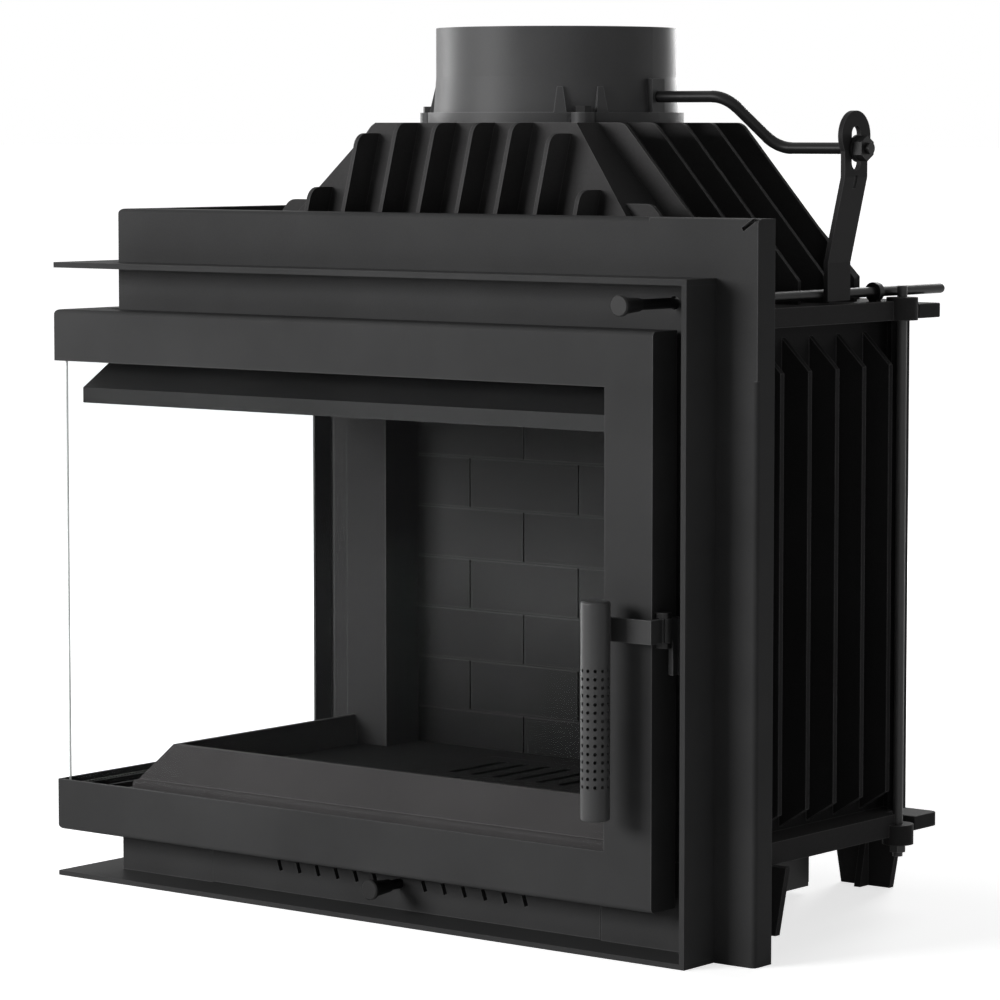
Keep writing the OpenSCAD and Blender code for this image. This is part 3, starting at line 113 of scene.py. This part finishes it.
# Finish of each kind of surface, and what each paint changes in it
SHEET = {"rough": 0.52, "grain": 1400.0, "bump": 0.06, "sheen": 0.03, "folded": True}
CASTING = {"rough": 0.55, "grain": 700.0, "bump": 0.14, "sheen": 0.02, "cast": True}
IRON = {"rough": 0.60, "grain": 900.0, "bump": 0.12, "sheen": 0.02, "cast": True}
STEEL = {"rough": 0.40, "grain": 1500.0, "bump": 0.05}
PAINTS = {
    # Each paint's edges are painted lighter: partly wear, partly a painted highlight
    "sheet_paint": SHEET | {"colour": SATIN_BLACK, "wear_and_highlight": 2.2, "edge": 0.0014},
    "trim_paint": SHEET | {"colour": SATIN_BLACK, "wear_and_highlight": 1.2},
    "door_paint": SHEET | {"colour": SATIN_BLACK, "wear_and_highlight": 2.2, "edge": 0.0014, "rough": 0.50},
    "cast_paint": CASTING | {"colour": CAST_DARK, "wear_and_highlight": 3.2},
    # Walls: a darker copy of the cast paint as painted shade, with a strong painted highlight on the ribs'
    # edges; hood: a lighter copy as painted light
    "wall_paint_shaded": CASTING | {"colour": WALL_SHADED_DARK, "wear_and_highlight": 4.5, "edge": 0.0016},
    "hood_paint_lit": CASTING | {"colour": HOOD_LIT_GREY, "wear_and_highlight": 1.9},
    "flue_paint": CASTING | {"colour": FLUE_GREY, "rough": 0.44, "grain": 1200.0, "bump": 0.05,
                             "sheen": 0.18},
    "lining_iron": IRON | {"colour": LINING},
    # Firebox castings: the paint gets darker towards the fire bed
    "bed_darkened_iron": IRON | {"colour": FIRE_BED_GREY, "rough": 0.62, "darkens_to_bed": True},
    "lip_iron": IRON | {"colour": LIP_GREY, "rough": 0.52, "bump": 0.10, "sheen": 0.03},
    "black_steel": STEEL | {"colour": BLACK_STEEL, "rough": 0.36, "sheen": 0.14},
    "lever_paint": STEEL | {"colour": SATIN_BLACK, "rough": 0.42, "sheen": 0.10},
    "grip_paint": STEEL | {"colour": GRIP_GREY, "sheen": 0.16, "wear_and_highlight": 1.0},
    "rod_paint": STEEL | {"colour": ROD_GREY, "sheen": 0.18},
    "strap_paint": STEEL | {"colour": STRAP_DARK, "rough": 0.46, "sheen": 0.04},
}
# Nodes with a material of their own, where the record's slot holds several tones, or where a part gets
# a lighter or darker copy of its paint: painted light on the smoke hood, painted shade on the walls
OWN_MATERIAL = {
    "top_trim": "trim_paint", "side_trim": "trim_paint", "bottom_trim": "trim_paint",
    "smoke_hood": "hood_paint_lit", "right_wall": "wall_paint_shaded", "rear_wall": "wall_paint_shaded",
    "tie_rods": "rod_paint", "damper_strap": "strap_paint", "handle_lever": "lever_paint",
    "hearth_lip": "lip_iron", "fireback": "bed_darkened_iron", "right_liner": "bed_darkened_iron",
    "firebox_floor": "bed_darkened_iron", "grate": "bed_darkened_iron",
}

# Clear bead in the joint of the two panes
BEAD_INSET = 0.0012
BEAD_RADIUS = 0.0009
BEAD_SIDES = 8
BEAD_STEPS = 24

# Holes in the grip tube, and the plain tube's rings above and below them
HOLE_LOW = 0.1344
HOLE_PITCH = 0.00614
HOLE_ROWS = 15
HOLE_COLUMNS = 12
HOLE_RADIUS = 0.00135
HOLE_TURN = math.radians(-53.5)
GRIP_WALL = 0.0015
CELL_POINTS = 16
PLAIN_STEPS = 6
WELD = 0.00005

# Rear lugs of the two plates, a hair inside the plates' own lugs so that no faces coincide
LUG_THICK = 0.0114
LUG_CORNER = 0.006
LUG_CORNER_STEPS = 5
LUG_EDGE = 0.0008
LUG_BACK = 0.2048
LUG_ROOT = 0.1702
LUG_BOTTOM = {"roof": 0.4651, "base": 0.0543}
LUG_REACH = {"right": (0.2320, 0.2730), "left": (-0.2551, -0.2961)}


def link(tree, source, target):
    tree.links.new(source, target)


def node(tree, kind, **values):
    made = tree.nodes.new(kind)
    for name, value in values.items():
        setattr(made, name, value)
    return made


def combine(tree, operation, *values):
    """Math node on sockets and plain numbers."""
    made = node(tree, "ShaderNodeMath", operation=operation)
    for value, target in zip(values, made.inputs):
        if isinstance(value, bpy.types.NodeSocket):
            link(tree, value, target)
        else:
            target.default_value = value
    return made.outputs[0]


def noise(tree, coords, scale, detail=4.0, rough=0.55):
    made = node(tree, "ShaderNodeTexNoise")
    made.inputs["Scale"].default_value = scale
    made.inputs["Detail"].default_value = detail
    made.inputs["Roughness"].default_value = rough
    link(tree, coords, made.inputs["Vector"])
    return made.outputs["Fac"]


def ramp(tree, value, low, high, out_low, out_high):
    made = node(tree, "ShaderNodeMapRange")
    made.inputs["From Min"].default_value = low
    made.inputs["From Max"].default_value = high
    made.inputs["To Min"].default_value = out_low
    made.inputs["To Max"].default_value = out_high
    link(tree, value, made.inputs["Value"])
    return made.outputs["Result"]


def scaled_colour(tree, colour, factor):
    made = node(tree, "ShaderNodeMix", data_type="RGBA", blend_type="MULTIPLY")
    made.inputs["Factor"].default_value = 1.0
    made.inputs[6].default_value = colour
    grey = node(tree, "ShaderNodeCombineColor")
    for channel in ("Red", "Green", "Blue"):
        link(tree, factor, grey.inputs[channel])
    link(tree, grey.outputs["Color"], made.inputs[7])
    return made.outputs[2]


def object_coords(tree):
    return node(tree, "ShaderNodeTexCoord").outputs["Object"]


def relief(tree, height, strength, depth):
    made = node(tree, "ShaderNodeBump")
    made.inputs["Strength"].default_value = strength
    made.inputs["Distance"].default_value = depth
    link(tree, height, made.inputs["Height"])
    return made


def edge_mask(tree, radius):
    """1 on sharp edges and 0 on flat faces, from the difference to a bevelled normal."""
    bevel = node(tree, "ShaderNodeBevel", samples=6)
    bevel.inputs["Radius"].default_value = radius
    geometry = node(tree, "ShaderNodeNewGeometry")
    dot = node(tree, "ShaderNodeVectorMath", operation="DOT_PRODUCT")
    link(tree, bevel.outputs["Normal"], dot.inputs[0])
    link(tree, geometry.outputs["True Normal"], dot.inputs[1])
    return ramp(tree, dot.outputs["Value"], EDGE_START, EDGE_FULL, 0.0, 1.0)


def bed_darkening(tree, coords, clouds):
    """Tone that falls towards the fire bed, with the clouds' unevenness in its limit."""
    place = node(tree, "ShaderNodeSeparateXYZ")
    link(tree, coords, place.inputs[0])
    height = combine(tree, "MULTIPLY_ADD", clouds, BED_DARK_DRIFT, place.outputs["Z"])
    return ramp(tree, height, BED_DARK_LOW, BED_DARK_HIGH, BED_DARK_TONE, 1.0)


def seen_straight(tree):
    """1 for the rays that show the white backdrop: from the camera, through glass and off gloss."""
    path = node(tree, "ShaderNodeLightPath")
    clear = combine(tree, "MAXIMUM", path.outputs["Is Camera Ray"], path.outputs["Is Transmission Ray"])
    return combine(tree, "MAXIMUM", clear, path.outputs["Is Glossy Ray"])


def new_material(name):
    """Material with its node tree and its principled shader."""
    material = bpy.data.materials.new(name)
    material.use_nodes = True
    tree = material.node_tree
    return material, tree, tree.nodes["Principled BSDF"]


def painted(name, colour, rough, grain, bump, sheen, cast=False, wear_and_highlight=EDGE_WEAR_AND_HIGHLIGHT, edge=EDGE_WIDTH,
            folded=False, darkens_to_bed=False):
    """Heat-resistant paint: fine grain, soft clouds in tone and sheen, edges lighter by wear and by a painted
    highlight.

    Folded sheet is shaded by its flat faces, and a casting of the firebox gets darker towards the fire bed."""
    material, tree, shader = new_material(name)
    coords = object_coords(tree)
    clouds = noise(tree, coords, CLOUD_SCALE, 5.0)
    fine = noise(tree, coords, grain, 3.0, 0.6)
    tone = combine(tree, "MULTIPLY", ramp(tree, clouds, 0.3, 0.7, 0.86, 1.14),
                   ramp(tree, fine, 0.3, 0.7, 0.93, 1.07))
    if darkens_to_bed:
        tone = combine(tree, "MULTIPLY", tone, bed_darkening(tree, coords, clouds))
    # Edges painted lighter: partly wear, partly a painted highlight
    worn_and_highlit = combine(tree, "MULTIPLY_ADD", edge_mask(tree, edge), wear_and_highlight - 1.0, 1.0)
    total = combine(tree, "MULTIPLY", tone, worn_and_highlit)
    link(tree, scaled_colour(tree, colour, total), shader.inputs["Base Color"])
    link(tree, ramp(tree, clouds, 0.25, 0.75, rough - 0.05, rough + 0.06), shader.inputs["Roughness"])
    shader.inputs["Specular IOR Level"].default_value = sheen
    surface = fine
    if cast:
        surface = combine(tree, "ADD", fine, noise(tree, coords, grain * LUMP_SHARE, 4.0, 0.6))
    skin = relief(tree, surface, bump, RELIEF_DEPTH)
    if folded:
        link(tree, node(tree, "ShaderNodeNewGeometry").outputs["True Normal"], skin.inputs["Normal"])
    link(tree, skin.outputs["Normal"], shader.inputs["Normal"])
    return material


def rope_seal(name):
    """Braided ceramic rope: slanting strands with fuzz."""
    material, tree, shader = new_material(name)
    coords = object_coords(tree)
    wave = node(tree, "ShaderNodeTexWave", wave_type="BANDS", bands_direction="DIAGONAL")
    wave.inputs["Scale"].default_value = 180.0
    wave.inputs["Distortion"].default_value = 2.5
    link(tree, coords, wave.inputs["Vector"])
    strands = ramp(tree, wave.outputs["Fac"], 0.0, 1.0, 0.6, 1.1)
    fuzz = ramp(tree, noise(tree, coords, 900.0), 0.3, 0.7, 0.85, 1.15)
    shade = combine(tree, "MULTIPLY", strands, fuzz)
    link(tree, scaled_colour(tree, ROPE, shade), shader.inputs["Base Color"])
    shader.inputs["Roughness"].default_value = 0.92
    skin = relief(tree, wave.outputs["Fac"], 0.7, 0.001)
    link(tree, skin.outputs["Normal"], shader.inputs["Normal"])
    return material


def clear_glass(name):
    """Thin heat-proof pane: clear, and a mirror only at a grazing angle, alike on both faces."""
    material, tree, shader = new_material(name)
    tree.nodes.remove(shader)
    clear = node(tree, "ShaderNodeBsdfTransparent")
    clear.inputs["Color"].default_value = GLASS_TINT
    gloss = node(tree, "ShaderNodeBsdfGlossy")
    gloss.inputs["Color"].default_value = GLASS_SHINE
    streaks = noise(tree, object_coords(tree), 6.0)
    link(tree, ramp(tree, streaks, 0.3, 0.7, 0.01, 0.035), gloss.inputs["Roughness"])
    facing = node(tree, "ShaderNodeLayerWeight")
    facing.inputs["Blend"].default_value = 0.5
    grazing = combine(tree, "POWER", facing.outputs["Facing"], 5.0)
    mix = node(tree, "ShaderNodeMixShader")
    link(tree, ramp(tree, grazing, 0.0, 1.0, 0.001, 0.5), mix.inputs[0])
    link(tree, clear.outputs[0], mix.inputs[1])
    link(tree, gloss.outputs[0], mix.inputs[2])
    link(tree, mix.outputs[0], tree.nodes["Material Output"].inputs["Surface"])
    return material


def clear_bead(name):
    """Clear silicone in the joint of the panes: pale, soft and half see-through."""
    material, tree, shader = new_material(name)
    coords = object_coords(tree)
    tone = ramp(tree, noise(tree, coords, 60.0), 0.3, 0.7, 0.9, 1.1)
    link(tree, scaled_colour(tree, SILICONE, tone), shader.inputs["Base Color"])
    link(tree, ramp(tree, noise(tree, coords, 300.0), 0.3, 0.7, 0.25, 0.4), shader.inputs["Roughness"])
    shader.inputs["Alpha"].default_value = 0.75
    return material


def pale_floor(name):
    """Floor paint that also glows white for the rays that look straight at it."""
    material, tree, shader = new_material(name)
    shader.inputs["Base Color"].default_value = FLOOR_GREY
    shader.inputs["Roughness"].default_value = 0.9
    distance = node(tree, "ShaderNodeVectorMath", operation="LENGTH")
    link(tree, object_coords(tree), distance.inputs[0])
    white = ramp(tree, distance.outputs["Value"], *SHADOW_REACH, SHADOW_GLOW, 1.0)
    glow = combine(tree, "MULTIPLY", seen_straight(tree), white)
    shader.inputs["Emission Color"].default_value = (1, 1, 1, 1)
    link(tree, glow, shader.inputs["Emission Strength"])
    return material


def make_materials():
    made = {name: painted(name, **finish) for name, finish in PAINTS.items()}
    made["rope_seal"] = rope_seal("rope_seal")
    made["window_glass"] = clear_glass("window_glass")
    return made


def dress_nodes():
    slots = {part["node"]: part["material_slot"] for part in frame["record"]["subparts"]}
    for name, obj in frame["nodes"].items():
        material = MATERIALS[OWN_MATERIAL.get(name, slots[name])]
        obj.data.materials.clear()
        obj.data.materials.append(material)


def piece_from(shape, name, material):
    """Object of a finished bmesh, in one material."""
    mesh = bpy.data.meshes.new(name)
    shape.to_mesh(mesh)
    shape.free()
    mesh.materials.append(material)
    piece = bpy.data.objects.new(name, mesh)
    bpy.context.scene.collection.objects.link(piece)
    return piece


def join_rings(shape, rings):
    """Faces between each ring of points and the next."""
    faces = []
    for lower, upper in zip(rings, rings[1:]):
        for i in range(len(lower)):
            after = (i + 1) % len(lower)
            faces.append(shape.faces.new((lower[i], lower[after], upper[after], upper[i])))
    return faces


def add_pane_joint():
    """Bead that closes the mitred joint of the two panes along the door's front corner."""
    low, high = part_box("front_glass")
    side_low, side_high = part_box("side_glass")
    x, y = side_low[0] + BEAD_INSET, low[1] + BEAD_INSET
    shape = bmesh.new()
    rings = []
    for step in range(BEAD_STEPS + 1):
        z = low[2] + (high[2] - low[2]) * step / BEAD_STEPS
        turns = [2 * math.pi * k / BEAD_SIDES for k in range(BEAD_SIDES)]
        rings.append([shape.verts.new((x + BEAD_RADIUS * math.cos(turn), y + BEAD_RADIUS * math.sin(turn), z))
                      for turn in turns])
    for face in join_rings(shape, rings):
        face.smooth = True
    shape.faces.new(list(reversed(rings[0])))
    shape.faces.new(rings[-1])
    bead = piece_from(shape, "pane_joint", clear_bead("clear_bead"))
    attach(bead, "door")


def add_grip():
    """Grip tube with its rows of round holes, which stands for the plain tube."""
    low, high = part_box("handle_grip")
    centre = ((low[0] + high[0]) / 2, (low[1] + high[1]) / 2)
    radius = (high[0] - low[0]) / 2
    width = 2 * math.pi * radius / HOLE_COLUMNS
    side_points = CELL_POINTS // 4
    shape = bmesh.new()

    def point(across, z):
        turn = HOLE_TURN + across / radius
        return shape.verts.new((centre[0] + radius * math.cos(turn), centre[1] + radius * math.sin(turn), z))

    def edge_point(k):
        """Point k of a cell's square outline, as shares of its half width and half height."""
        side, step = divmod(k, side_points)
        along = -1 + 2 * step / side_points
        return ((1, along), (-along, 1), (-1, -along), (along, -1))[side]

    for row in range(HOLE_ROWS):
        z = HOLE_LOW + row * HOLE_PITCH
        for column in range(HOLE_COLUMNS):
            middle = column * width
            outer, rim = [], []
            for k in range(CELL_POINTS):
                across, up = edge_point(k)
                outer.append(point(middle + across * width / 2, z + up * HOLE_PITCH / 2))
                turn = math.atan2(up, across)
                rim.append(point(middle + HOLE_RADIUS * math.cos(turn), z + HOLE_RADIUS * math.sin(turn)))
            join_rings(shape, (outer, rim))
    # Plain ends, with the same points across as the cells
    first = HOLE_LOW - HOLE_PITCH / 2
    last = HOLE_LOW + (HOLE_ROWS - 0.5) * HOLE_PITCH
    for bottom, top in ((low[2], first), (last, high[2])):
        heights = [bottom + (top - bottom) * step / PLAIN_STEPS for step in range(PLAIN_STEPS + 1)]
        join_rings(shape, [[point((i / side_points - 0.5) * width, z)
                            for i in range(HOLE_COLUMNS * side_points)] for z in heights])
    bmesh.ops.remove_doubles(shape, verts=shape.verts, dist=WELD)
    bmesh.ops.recalc_face_normals(shape, faces=shape.faces)
    for face in shape.faces:
        face.smooth = True
    for edge in shape.edges:
        edge.smooth = not edge.is_boundary
    grip = piece_from(shape, "grip_tube", MATERIALS["grip_paint"])
    wall = grip.modifiers.new("wall", "SOLIDIFY")
    wall.thickness = GRIP_WALL
    wall.offset = -1.0
    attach(grip, "handle")
    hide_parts("handle_grip")


def add_lug_end(name, x_in, x_out, z_low):
    """Outer end of a rear lug, with its back corner rounded as the casting's."""
    side = 1 if x_out > x_in else -1
    outline = [(x_in, LUG_ROOT), (x_out, LUG_ROOT), (x_out, LUG_BACK - LUG_CORNER)]
    for step in range(1, LUG_CORNER_STEPS + 1):
        turn = math.pi / 2 * step / LUG_CORNER_STEPS
        outline.append((x_out - side * LUG_CORNER * (1 - math.cos(turn)),
                        LUG_BACK - LUG_CORNER * (1 - math.sin(turn))))
    outline.append((x_in, LUG_BACK))
    shape = bmesh.new()
    lower = [shape.verts.new((x, y, z_low)) for x, y in outline]
    upper = [shape.verts.new((x, y, z_low + LUG_THICK)) for x, y in outline]
    shape.faces.new(lower)
    shape.faces.new(list(reversed(upper)))
    join_rings(shape, (lower, upper))
    bmesh.ops.recalc_face_normals(shape, faces=shape.faces)
    lug = piece_from(shape, name, MATERIALS["cast_paint"])
    soften = lug.modifiers.new("soften", "BEVEL")
    soften.width = LUG_EDGE
    soften.segments = 2
    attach(lug, "body")


def add_lug_ends():
    for plate, z_low in LUG_BOTTOM.items():
        for side, (x_in, x_out) in LUG_REACH.items():
            add_lug_end(f"{plate}_lug_{side}", x_in, x_out, z_low)


def add_floor():
    """Pale floor that keeps the object's shadow and shows white to the camera elsewhere."""
    shape = bmesh.new()
    bmesh.ops.create_grid(shape, x_segments=1, y_segments=1, size=FLOOR_SIZE / 2)
    floor = piece_from(shape, "floor", pale_floor("pale_floor"))


def add_world():
    """White backdrop for what looks straight at it, and a plain soft light for the rest."""
    world = bpy.data.worlds.new("studio")
    bpy.context.scene.world = world
    world.use_nodes = True
    tree = world.node_tree
    back = tree.nodes["Background"]
    back.inputs["Color"].default_value = (1, 1, 1, 1)
    link(tree, ramp(tree, seen_straight(tree), 0.0, 1.0, WORLD_LIGHT, 1.0), back.inputs["Strength"])


def add_lamp(name, place, size, power):
    data = bpy.data.lights.new(name, "AREA")
    data.shape = "RECTANGLE"
    data.size, data.size_y = size
    data.energy = power
    lamp = bpy.data.objects.new(name, data)
    lamp.location = place
    lamp.rotation_euler = (Vector(LAMP_TARGET) - Vector(place)).to_track_quat("-Z", "Y").to_euler()
    bpy.context.scene.collection.objects.link(lamp)


def add_camera():
    data = bpy.data.cameras.new("camera")
    data.lens = CAMERA_LENS
    data.sensor_width = SENSOR
    camera = bpy.data.objects.new("camera", data)
    camera.location = CAMERA_AT
    camera.rotation_euler = (math.pi / 2 - CAMERA_PITCH, 0, CAMERA_TURN)
    bpy.context.scene.collection.objects.link(camera)
    bpy.context.scene.camera = camera


MATERIALS = make_materials()
dress_nodes()
add_pane_joint()
add_grip()
add_lug_ends()
add_floor()
add_world()
for lamp_name, (place, size, power) in LAMPS.items():
    add_lamp(lamp_name, place, size, power)
add_camera()
bpy.context.scene.view_settings.view_transform = "Standard"
